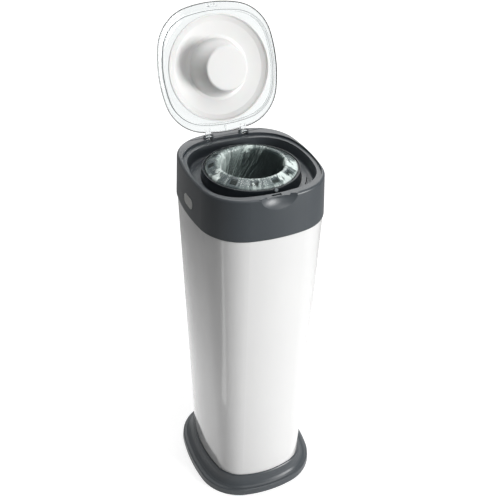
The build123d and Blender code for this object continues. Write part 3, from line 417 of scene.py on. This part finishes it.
# blown low-density polyethylene: clear and a little green, milky along creases and bunches, and
# whiter where highlights are painted on it
def blownFilm():
    material, tree = newMaterial("blownFilm")
    # the film's whiteness from the mesh: milkiness, and painted highlights where the sleeve is
    # made whiter
    milkyAndSheen = addNode(tree, "ShaderNodeAttribute", attribute_name="milkAndSheen")
    flow = addNode(tree, "ShaderNodeAttribute", attribute_name="flow")
    streak = addNode(
        tree,
        "ShaderNodeTexNoise",
        {
            "Vector": flow.outputs["Vector"],
            "Scale": perMm(polythene["streak"]),
            "Detail": 5.0,
            "Roughness": 0.62,
        },
    )
    patch = addNode(
        tree,
        "ShaderNodeTexNoise",
        {
            "Vector": flow.outputs["Vector"],
            "Scale": perMm(polythene["patch"]),
            "Detail": 2.0,
            "Distortion": 0.6,
        },
    )
    crease = addNode(
        tree,
        "ShaderNodeMath",
        {0: streak.outputs["Fac"], 1: patch.outputs["Fac"]},
        operation="MULTIPLY",
    )
    whiteningSum = addNode(
        tree,
        "ShaderNodeMath",
        {0: crease.outputs["Value"], 1: polythene["streakGain"], 2: milkyAndSheen.outputs["Fac"]},
        operation="MULTIPLY_ADD",
    )
    cover = addNode(
        tree,
        "ShaderNodeMapRange",
        {
            "Value": whiteningSum.outputs["Value"],
            "From Min": polythene["milkyFrom"][0],
            "From Max": polythene["milkyFrom"][1],
            "To Min": polythene["cover"][0],
            "To Max": polythene["cover"][1],
        },
    )
    tone = addNode(
        tree,
        "ShaderNodeMix",
        {
            0: cover.outputs["Result"],
            6: toLinear(polythene["thin"]),
            7: toLinear(polythene["milkyAndSheen"]),
        },
        data_type="RGBA",
    )
    crinkle = addNode(
        tree,
        "ShaderNodeBump",
        {
            "Height": streak.outputs["Fac"],
            "Strength": 0.5,
            "Distance": polythene["creaseDepth"],
        },
    )
    shader = addNode(
        tree,
        "ShaderNodeBsdfPrincipled",
        {
            "Base Color": tone.outputs[2],
            "Alpha": cover.outputs["Result"],
            "Roughness": polythene["roughness"],
            "IOR": polythene["ior"],
            "Specular IOR Level": 0.8,
            "Normal": crinkle.outputs["Normal"],
        },
    )
    addNode(tree, "ShaderNodeOutputMaterial", {"Surface": shader.outputs["BSDF"]})
    return material


zincPlate = zincSteel()
lidStyrene = clearStyrene()
filmPolythene = blownFilm()

nodeFinishes = {
    "foot_plinth": slatePolypropylene,
    "base_plate": innerPolypropylene,
    "base_screws": zincPlate,
    "rubber_pads": padRubber,
    "body_shell": polishedAbs,
    "body_rim": slatePolypropylene,
    "head_hinge_pin": zincPlate,
    "collar": slatePolypropylene,
    "recess_tray": slatePolypropylene,
    "lid_catch": innerPolypropylene,
    "lid_hinge_pins": zincPlate,
    "well_housing": innerPolypropylene,
    "well_screws": zincPlate,
    "click_pawl": satinPolypropylene,
    "grip_fingers": innerPolypropylene,
    "cutter_guard": satinPolypropylene,
    "cutter_blade": zincPlate,
    "twist_ring": ringAbs,
    "index_pip": pipAcetal,
    "cassette_carrier": ringAbs,
    # tub and core: near black as painted shade
    "cassette_tub": shadedCassettePolypropylene,
    "cassette_core": shadedCassettePolypropylene,
    "cassette_cap": cassettePolypropylene,
    "film_pack": filmPolythene,
    "film_sleeve": filmPolythene,
    "film_bag": filmPolythene,
    "lid_shell": lidStyrene,
    "lid_seal": sealSilicone,
    "plunger": satinPolypropylene,
    "latch_button_left": buttonPolycarbonate,
    "latch_button_right": buttonPolycarbonate,
    "latch_spring_left": zincPlate,
    "latch_spring_right": zincPlate,
}
for nodeName, finish in nodeFinishes.items():
    nodes[nodeName].data.materials.clear()
    nodes[nodeName].data.materials.append(finish)
print("finishes set on", len(nodeFinishes), "nodes")


# the buttons' return springs, which close up as the buttons are pressed; each is made as a fixed
# coil that moves with its button; wire and travel in mm
spring = {"wire": 0.8, "turns": 5, "steps": 32, "sides": 10, "travel": 3.0}


def makeSpring(side):
    low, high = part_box("latch_spring_" + side)
    middle = [(low[axis] + high[axis]) / 2 for axis in range(3)]
    wire = spring["wire"] / 1000
    length = high[0] - low[0]
    coilRadius = (high[1] - low[1] - wire) / 2
    bpy.ops.object.select_all(action="DESELECT")
    bpy.ops.mesh.primitive_circle_add(
        vertices=spring["sides"], radius=wire / 2, location=(0.0, 0.0, 0.0)
    )
    coil = bpy.context.object
    coil.name = "latchSpring" + side.capitalize()
    coil.data.name = coil.name
    bpy.ops.object.mode_set(mode="EDIT")
    bpy.ops.transform.translate(value=(0.0, coilRadius, 0.0))
    bpy.ops.object.mode_set(mode="OBJECT")
    winding = coil.modifiers.new("winding", "SCREW")
    winding.axis = "X"
    winding.screw_offset = (length - wire) / spring["turns"]
    winding.iterations = spring["turns"]
    winding.steps = winding.render_steps = spring["steps"]
    bpy.ops.object.modifier_apply(modifier="winding")
    bpy.ops.object.mode_set(mode="EDIT")
    bpy.ops.mesh.select_all(action="SELECT")
    bpy.ops.transform.translate(value=(low[0] + wire / 2, middle[1], middle[2]))
    bpy.ops.mesh.fill_holes(sides=0)
    bpy.ops.mesh.select_all(action="SELECT")
    bpy.ops.mesh.normals_make_consistent(inside=False)
    bpy.ops.object.mode_set(mode="OBJECT")
    bpy.ops.object.shade_smooth()
    coil.data.materials.append(zincPlate)
    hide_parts("latch_spring_" + side)
    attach(coil, "latch_" + side)
    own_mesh(coil)
    return coil


for side, outward in (("left", -1), ("right", 1)):
    coil = makeSpring(side)
    print("spring made:", coil.name, len(coil.data.polygons), "faces")


# the film: over the cap, down the throat, twisted through the fingers and knotted
# lengths are millimetres, and angles round the cap are degrees from the right side
capLow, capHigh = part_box("cassette_cap")
film = {
    "around": 312,  # points round each ring
    "step": 2.4,  # along the film between rings
    "thickness": 0.12,
    "centreY": (capLow[1] + capHigh[1]) * 500.0,
    "pleats": 26,
    "throatCreases": 0.25,  # share of fine creases in the pleats, below and above this height
    "capCreases": 0.55,
    "creaseHeight": 670,
    "windows": 12,
    "windowRadii": (63.0, 73.0),
    "capHeight": 668,  # above it the film lies on the cap
    "capBand": (68.2, 9.0),  # middle and half width of the ring that lies there
    "edge": (76.4, 669),  # radius and height beyond which it turns down over the cap's edge, where a highlight is painted along the fold
    "lip": (58.5, 4.0, 675),  # the throat's rounded lip, where a highlight is painted round its crest: radius, half width, lowest height
    "mouth": (60, 677),  # radius and height inside which it hangs in the throat
    "twistHeight": 600,  # below it the film is drawn together
    # where the film bunches up on the cap: angle, half width, strength
    "bunches": [
        (-23, 15, 1.0),
        (-62, 13, 0.9),
        (-108, 9, 0.5),
        (-168, 11, 0.85),
        (72, 12, 0.6),
        (128, 9, 0.5),
    ],
    # radius, height, pleat depth and turn of the twist, all down the film
    "stations": [
        (78.0, 662.8, 0.10, 0),
        (78.0, 668.4, 0.15, 0),
        (77.3, 671.2, 0.25, 0),
        (74.8, 672.9, 0.45, 0),
        (68.7, 675.9, 0.70, 0),
        (62.5, 678.1, 0.60, 0),
        (59.6, 678.9, 0.30, 0),
        (57.4, 678.5, 0.35, 0),
        (56.0, 676.2, 0.70, 0),
        (54.6, 671.0, 1.7, 2),
        (52.8, 660.0, 3.1, 6),
        (50.4, 642.0, 4.2, 16),
        (46.6, 622.0, 5.2, 32),
        (40.2, 602.0, 5.6, 60),
        (27.0, 589.5, 4.2, 95),
        (15.8, 581.0, 2.6, 140),
        (9.6, 573.5, 1.5, 210),
        (7.6, 569.0, 1.0, 270),
        (8.0, 566.5, 0.9, 300),
        (11.6, 561.5, 1.1, 330),
        (12.6, 556.0, 1.2, 360),
        (11.0, 550.0, 1.1, 390),
        (7.2, 545.5, 0.9, 410),
        (7.6, 540.0, 1.6, 415),
        (10.2, 530.0, 2.6, 415),
        (10.6, 519.6, 2.8, 415),
    ],
}
# how far the film stands off the cap: more where it is crumpled or bunched, less in a window
relief = {"crumple": 0.7, "sink": 0.2, "gather": 1.8, "window": 1.1, "lowest": 0.2, "sag": 0.3}
# how white the film is, as milkiness and as painted highlights: what each cause adds
whitening = {
    "clear": -0.06,
    "pleat": 0.14,
    "throat": 0.17,
    "throatLeftHighlight": 0.26,
    "edge": 0.1,
    "edgePatches": 0.3,
    "lip": 0.3,
    "lipPleatHighlight": 0.2,
    "gather": 0.6,
    "crumple": 0.12,
    "front": 0.16,
    "window": -0.2,
    "twist": 0.2,
}
# the pattern's own size: a round of this radius in metres, and metres for each mm along the film
streaks = {"radius": 0.066, "along": 0.00016}


def clamped(value):
    return max(0.0, min(1.0, value))


# 1 at the middle of a band, falling evenly to 0 at its edges
def bandAt(value, middle, halfWidth):
    return max(0.0, 1.0 - abs(value - middle) / halfWidth)


# the stations, spaced evenly along the film by a smooth curve through them
def filmRings():
    points = film["stations"]
    rings = []
    for i in range(len(points) - 1):
        before = points[max(i - 1, 0)]
        start, end = points[i], points[i + 1]
        after = points[min(i + 2, len(points) - 1)]
        run = math.hypot(end[0] - start[0], end[1] - start[1])
        count = max(1, round(run / film["step"]))
        for k in range(count):
            t = k / count
            ring = []
            for a, b, c, d in zip(before, start, end, after):
                bend = 2 * a - 5 * b + 4 * c - d + t * (3 * (b - c) + d - a)
                ring.append(b + 0.5 * t * (c - a + t * bend))
            rings.append(ring)
    rings.append(list(points[-1]))
    return rings


# uneven pleats: sharp ridges one way, soft valleys the other, and finer creases between them
def pleatShape(angle, height, share):
    warped = angle + 0.10 * math.sin(3 * angle + 0.7) + 0.05 * math.sin(7 * angle + 2.1)
    wave = math.sin(film["pleats"] * warped)
    wander = 3.0 * math.sin(angle * 2 + height * 0.02)
    fine = math.sin(2.31 * film["pleats"] * warped + wander)
    strength = 0.65 + 0.35 * math.sin(5 * angle + 1.3 + height * 0.012)
    ridge = math.copysign(abs(wave) ** 0.75, wave)
    return strength * ((1 - share) * ridge + share * fine)


# how far the film is bunched up at an angle round the cap, 0 to 1
def bunchAt(angle):
    total = 0.0
    for middle, width, strength in film["bunches"]:
        away = (math.degrees(angle) - middle + 180) % 360 - 180
        total += strength * math.exp(-((away / width) ** 2))
    return min(1.0, total)


# 1 where the film is stretched over one of the cap's windows, 0 on the bars between them
def windowAt(angle, radius):
    low, high = film["windowRadii"]
    across = abs((angle * film["windows"] / (2 * math.pi) - 0.4 + 0.5) % 1.0 - 0.5) * 2
    along = abs(radius - (low + high) / 2) / ((high - low) / 2)
    return clamped((0.46 - across) / 0.12) * clamped((1.15 - along) / 0.3)


# crumple and bunching at a point, from noise laid round the film and along it
def crumpleAt(angle, travelled):
    spot = Vector((math.cos(angle) * 70, math.sin(angle) * 70, travelled * 0.8))
    crumple = noise.turbulence(spot * 0.16, 3, True)
    gather = bunchAt(angle) * (0.55 + 0.9 * noise.noise(spot * 0.13) + crumple * 0.5)
    return crumple, clamped((gather - 0.3) / 0.3)


def whiteningAt(angle, radius, height, pleat, crumple, gather, window):
    white = whitening["clear"] + whitening["pleat"] * pleat * pleat
    if radius < film["mouth"][0] and height < film["mouth"][1]:
        # the throat's left side made whiter: a painted highlight where light from the right falls
        # into the throat
        white += whitening["throat"] + whitening["throatLeftHighlight"] * math.cos(angle - 3.0)
    # over the fold at the cap's outer edge: a painted highlight along the fold all round, and
    # whitening of the folded film in patches
    if radius > film["edge"][0] and height > film["edge"][1]:
        white += whitening["edgePatches"] * max(0.0, math.sin(angle * 2 + 2.6)) + whitening["edge"]
    lipRadius, lipWidth, lipHeight = film["lip"]
    # a painted highlight round the crest of the throat's lip, varying with the pleats
    if height > lipHeight:
        lip = bandAt(radius, lipRadius, lipWidth)
        white += lip * (whitening["lip"] + whitening["lipPleatHighlight"] * pleat)
    if height > film["capHeight"]:
        front = max(0.0, math.cos(angle + 1.1))
        white += whitening["gather"] * gather + whitening["crumple"] * crumple + whitening["front"] * front
        white = white * (1 - window) + whitening["window"] * window
    elif height < film["twistHeight"]:
        white += whitening["twist"]
    return white


def makeFilm():
    rings = filmRings()
    around = film["around"]
    verts = []
    milkAndSheen = []
    flow = []
    travelled = 0.0
    for index, (radius, height, depth, turn) in enumerate(rings):
        before = rings[max(index - 1, 0)]
        after = rings[min(index + 1, len(rings) - 1)]
        travelled += math.hypot(radius - before[0], height - before[1])
        along = Vector((after[0] - before[0], after[1] - before[1])).normalized()
        outward = Vector((-along.y, along.x))  # out of the film, on the side that the user sees
        onCap = bandAt(radius, *film["capBand"]) if height > film["capHeight"] else 0.0
        share = film["capCreases"] if height > film["creaseHeight"] else film["throatCreases"]
        for k in range(around):
            angle = 2 * math.pi * k / around
            pleat = pleatShape(angle, height, share)
            crumple, gather = crumpleAt(angle, travelled)
            window = windowAt(angle, radius) * (1 - gather)
            lift = depth * pleat
            if height > film["capHeight"]:
                raised = crumple * relief["crumple"] - relief["sink"] + relief["gather"] * gather
                lift += onCap * (raised - relief["window"] * window)
                lift = max(lift, -relief["lowest"] - relief["sag"] * window * onCap)
            r = radius + outward.x * lift
            z = height + outward.y * lift
            swing = angle + math.radians(turn)
            verts.append((r * math.cos(swing), film["centreY"] + r * math.sin(swing), z))
            milkAndSheen.append(whiteningAt(angle, radius, height, pleat, crumple, gather, window))
            flow.append(streaks["radius"] * math.cos(angle))
            flow.append(streaks["radius"] * math.sin(angle))
            flow.append(streaks["along"] * travelled)
    faces = []
    for ring in range(len(rings) - 1):
        for k in range(around):
            a = ring * around + k
            b = ring * around + (k + 1) % around
            faces.append((a, b, b + around, a + around))
    mesh = bpy.data.meshes.new("filmSleeve")
    mesh.from_pydata([(x / 1000, y / 1000, z / 1000) for x, y, z in verts], [], faces)
    mesh.attributes.new("milkAndSheen", "FLOAT", "POINT").data.foreach_set("value", milkAndSheen)
    mesh.attributes.new("flow", "FLOAT_VECTOR", "POINT").data.foreach_set("vector", flow)
    sleeve = bpy.data.objects.new("filmSleeve", mesh)
    bpy.context.scene.collection.objects.link(sleeve)
    bpy.ops.object.select_all(action="DESELECT")
    sleeve.select_set(True)
    bpy.context.view_layer.objects.active = sleeve
    bpy.ops.object.mode_set(mode="EDIT")
    bpy.ops.mesh.select_all(action="SELECT")
    bpy.ops.mesh.normals_make_consistent(inside=False)
    bpy.ops.object.mode_set(mode="OBJECT")
    bpy.ops.object.shade_smooth()
    wall = sleeve.modifiers.new("wall", "SOLIDIFY")
    wall.thickness = film["thickness"] / 1000.0
    wall.offset = 0.0
    bpy.ops.object.modifier_apply(modifier="wall")
    sleeve.data.materials.append(filmPolythene)
    return sleeve, travelled / 1000


filmSleeve, filmLength = makeFilm()
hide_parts("film_sleeve", "film_bag")
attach(filmSleeve, "cassette")
print("film made:", len(filmSleeve.data.polygons), "faces,", round(filmLength, 4), "m of tube")


# the supply: film folded up and down between the core and the cassette's wall; sizes in mm
supply = {
    "folds": 24,
    "around": 96,
    "inner": 60.4,
    "outer": 77.8,
    "thickness": 0.3,
    "play": 0.8,  # free height in the cassette
    # the stacked film kept near clear, so it shows dark: painted shade for the shade inside the
    # cassette
    "whitening": 0.05,
}


def makeSupply():
    low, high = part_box("film_pack")
    depth = high[2] - low[2] - supply["play"] / 1000
    middle = (low[2] + high[2]) / 2
    bottom = middle - depth / 2
    centreY = film["centreY"] / 1000
    bpy.ops.object.select_all(action="DESELECT")
    bpy.ops.mesh.primitive_cylinder_add(
        vertices=supply["around"],
        radius=supply["outer"] / 1000,
        depth=depth,
        end_fill_type="NOTHING",
        location=(0.0, centreY, middle),
    )
    stack = bpy.context.object
    stack.name = "filmSupply"
    stack.data.name = "filmSupply"
    bpy.ops.object.transform_apply(location=True)
    levels = 2 * supply["folds"]
    bpy.ops.object.mode_set(mode="EDIT")
    for level in range(1, levels):
        bpy.ops.mesh.select_all(action="SELECT")
        cut = bottom + depth * level / levels
        bpy.ops.mesh.bisect(plane_co=(0.0, 0.0, cut), plane_no=(0.0, 0.0, 1.0))
    bpy.ops.mesh.select_all(action="DESELECT")
    bpy.ops.object.mode_set(mode="OBJECT")
    for vert in stack.data.vertices:
        level = round((vert.co.z - bottom) / depth * levels)
        vert.select = level % 2 == 1
    bpy.ops.object.mode_set(mode="EDIT")
    pull = supply["inner"] / supply["outer"]
    bpy.ops.transform.resize(value=(pull, pull, 1.0), center_override=(0.0, centreY, middle))
    bpy.ops.object.mode_set(mode="OBJECT")
    bpy.ops.object.shade_smooth()
    wall = stack.modifiers.new("wall", "SOLIDIFY")
    wall.thickness = supply["thickness"] / 1000.0
    wall.offset = 0.0
    bpy.ops.object.modifier_apply(modifier="wall")
    milkAndSheen = [supply["whitening"]] * len(stack.data.vertices)
    stack.data.attributes.new("milkAndSheen", "FLOAT", "POINT").data.foreach_set("value", milkAndSheen)
    flow = [value for vert in stack.data.vertices for value in vert.co]
    stack.data.attributes.new("flow", "FLOAT_VECTOR", "POINT").data.foreach_set("vector", flow)
    stack.data.materials.append(filmPolythene)
    area = sum(face.area for face in stack.data.polygons) / 2.0  # one side of the wall
    return stack, area


filmSupply, supplyArea = makeSupply()
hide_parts("film_pack")
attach(filmSupply, "cassette")
print("supply made, flat area", round(supplyArea, 3), "m2")


# studio: pale paper that the camera sees as white, soft lamps at the right, in front, above and
# behind, and a low strip at the left
studio = {
    "floorSize": 30.0,
    "floorColours": ("#bdbdbd", "#c1c1c1"),
    "floorLift": (0.72, 0.95),  # added where white is seen, near and far from the object
    "liftReach": (0.8, 3.2),  # metres between near and far, over which the lamps' light falls off
    "glossReach": (0.3, 0.9),  # metres over which the white paper fades from what gloss reflects
    "worldLight": 0.1,
    "worldGloss": 0.5,
    "lamps": [
        # name, place, aim, width, height, watts, turn about its own axis in degrees
        ("keyLamp", (1.7, -2.2, 1.0), (0.0, 0.0, 0.6), 0.7, 1.0, 62.0, 0.0),
        ("frontLamp", (0.4, -1.6, 2.5), (0.0, 0.0, 0.6), 1.4, 1.0, 13.0, 0.0),
        ("topLamp", (0.1, 0.5, 2.4), (0.0, 0.0, 0.6), 1.3, 1.0, 15.0, 0.0),
        ("backLamp", (1.0, 2.3, 2.2), (0.0, 0.0, 0.6), 2.6, 1.8, 34.0, 0.0),
        # shows as the bright line down the body's front left corner
        ("stripLamp", (-0.64, -0.28, 0.05), (-0.64, -0.28, 2.0), 0.85, 0.07, 0.2, -23.4),
    ],
}
pureWhite = (1.0, 1.0, 1.0, 1.0)


# how much of the white a ray sees: all from the camera or through the lid, a share off gloss
def whiteSeen(tree, glossShare):
    path = addNode(tree, "ShaderNodeLightPath")
    direct = addNode(
        tree,
        "ShaderNodeMath",
        {0: path.outputs["Is Camera Ray"], 1: path.outputs["Is Transmission Ray"]},
        operation="MAXIMUM",
    )
    gloss = addNode(
        tree,
        "ShaderNodeMath",
        {0: path.outputs["Is Glossy Ray"], 1: glossShare},
        operation="MULTIPLY",
    )
    seen = addNode(
        tree,
        "ShaderNodeMath",
        {0: direct.outputs[0], 1: gloss.outputs[0]},
        operation="MAXIMUM",
    )
    return seen.outputs[0]


def makeFloor():
    bpy.ops.object.select_all(action="DESELECT")
    bpy.ops.mesh.primitive_plane_add(size=studio["floorSize"], location=(0.0, 0.0, 0.0))
    floor = bpy.context.object
    floor.name = "studioFloor"
    material, tree = newMaterial("floorPaper")
    place = addNode(tree, "ShaderNodeTexCoord").outputs["Object"]
    fibre = addNode(
        tree, "ShaderNodeTexNoise", {"Vector": place, "Scale": perMm(400), "Detail": 2.0}
    )
    dark, light = studio["floorColours"]
    tone = addNode(
        tree,
        "ShaderNodeMix",
        {0: fibre.outputs["Fac"], 6: toLinear(dark), 7: toLinear(light)},
        data_type="RGBA",
    )
    paper = addNode(tree, "ShaderNodeBsdfDiffuse", {"Color": tone.outputs[2]})
    away = addNode(tree, "ShaderNodeVectorMath", {0: place}, operation="LENGTH").outputs["Value"]
    liftFade = addNode(
        tree,
        "ShaderNodeMapRange",
        {
            "Value": away,
            "From Min": studio["liftReach"][0],
            "From Max": studio["liftReach"][1],
            "To Min": studio["floorLift"][0],
            "To Max": studio["floorLift"][1],
        },
    )
    glossFade = addNode(
        tree,
        "ShaderNodeMapRange",
        {
            "Value": away,
            "From Min": studio["glossReach"][0],
            "From Max": studio["glossReach"][1],
            "To Min": 1.0,
            "To Max": 0.0,
        },
    )
    lift = addNode(
        tree,
        "ShaderNodeEmission",
        {"Color": pureWhite, "Strength": liftFade.outputs["Result"]},
    )
    none = addNode(tree, "ShaderNodeEmission", {"Color": pureWhite, "Strength": 0.0})
    seen = whiteSeen(tree, glossFade.outputs["Result"])
    glow = addNode(
        tree, "ShaderNodeMixShader", {0: seen, 1: none.outputs[0], 2: lift.outputs[0]}
    )
    total = addNode(tree, "ShaderNodeAddShader", {0: paper.outputs[0], 1: glow.outputs[0]})
    addNode(tree, "ShaderNodeOutputMaterial", {"Surface": total.outputs[0]})
    floor.data.materials.append(material)


def makeWorld():
    world = bpy.data.worlds.new("studioWorld")
    world.use_nodes = True
    tree = world.node_tree
    tree.nodes.clear()
    ambient = addNode(
        tree, "ShaderNodeBackground", {"Color": pureWhite, "Strength": studio["worldLight"]}
    )
    backdrop = addNode(tree, "ShaderNodeBackground", {"Color": pureWhite, "Strength": 1.0})
    seen = whiteSeen(tree, studio["worldGloss"])
    mixed = addNode(
        tree, "ShaderNodeMixShader", {0: seen, 1: ambient.outputs[0], 2: backdrop.outputs[0]}
    )
    addNode(tree, "ShaderNodeOutputWorld", {"Surface": mixed.outputs[0]})
    bpy.context.scene.world = world


def hangLamps():
    for name, place, aim, width, height, watts, turn in studio["lamps"]:
        lamp = bpy.data.lights.new(name, "AREA")
        lamp.shape = "RECTANGLE"
        lamp.size = width
        lamp.size_y = height
        lamp.energy = watts
        holder = bpy.data.objects.new(name, lamp)
        holder.location = place
        aimed = (Vector(aim) - Vector(place)).to_track_quat("-Z", "Y")
        holder.rotation_euler = aimed.to_euler()
        holder.rotation_euler.rotate_axis("Z", math.radians(turn))
        holder.visible_camera = False
        bpy.context.scene.collection.objects.link(holder)


makeFloor()
makeWorld()
hangLamps()
bpy.context.scene.view_settings.view_transform = "Standard"
print("studio lit")
